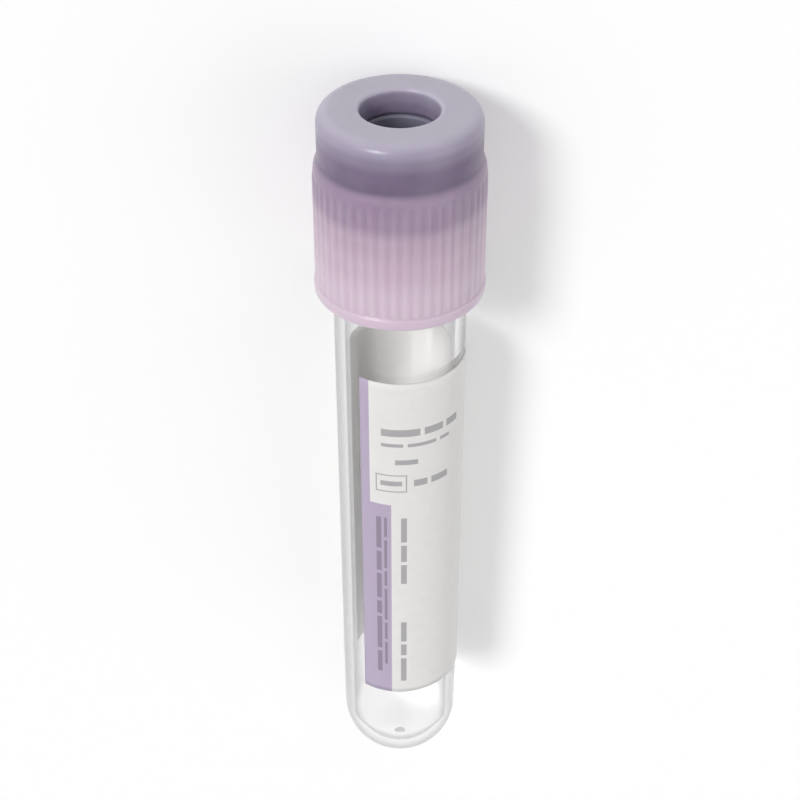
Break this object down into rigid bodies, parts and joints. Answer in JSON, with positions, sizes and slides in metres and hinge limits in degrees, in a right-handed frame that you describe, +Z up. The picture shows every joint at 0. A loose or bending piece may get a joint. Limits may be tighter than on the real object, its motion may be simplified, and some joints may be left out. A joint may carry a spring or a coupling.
{
  "type": "blood collection tube",
  "caption": "Clear round-bottomed tube with a paper label, closed by a rubber stopper in a translucent ribbed shield that pulls off as one closure.",
  "frame": {"origin": "bottom centre of the bounding box of the part lying on its side", "axes": "+Z up; the closure points along +Y, and the tube's axis climbs 2 degrees towards it"},
  "size_m": [0.0164, 0.0806, 0.0167],
  "materials": {
    "clear_plastic": "clear moulded polyester, glossy, with a faint haze inside",
    "paper": "matt white paper with a lavender stripe",
    "rubber": "matt dark grey-violet rubber",
    "lavender_plastic": "satin translucent lavender plastic"
  },
  "bodies": {
    "tube": {"tube": "clear_plastic", "label": "paper"},
    "closure": {"stopper": "rubber", "shield": "lavender_plastic"}
  },
  "joints": [
    {"name": "closure_pull", "type": "slide", "parent": "tube", "child": "closure", "axis": [0, 0.9994, 0.0356], "range_m": [0, 0.016]}
  ]
}
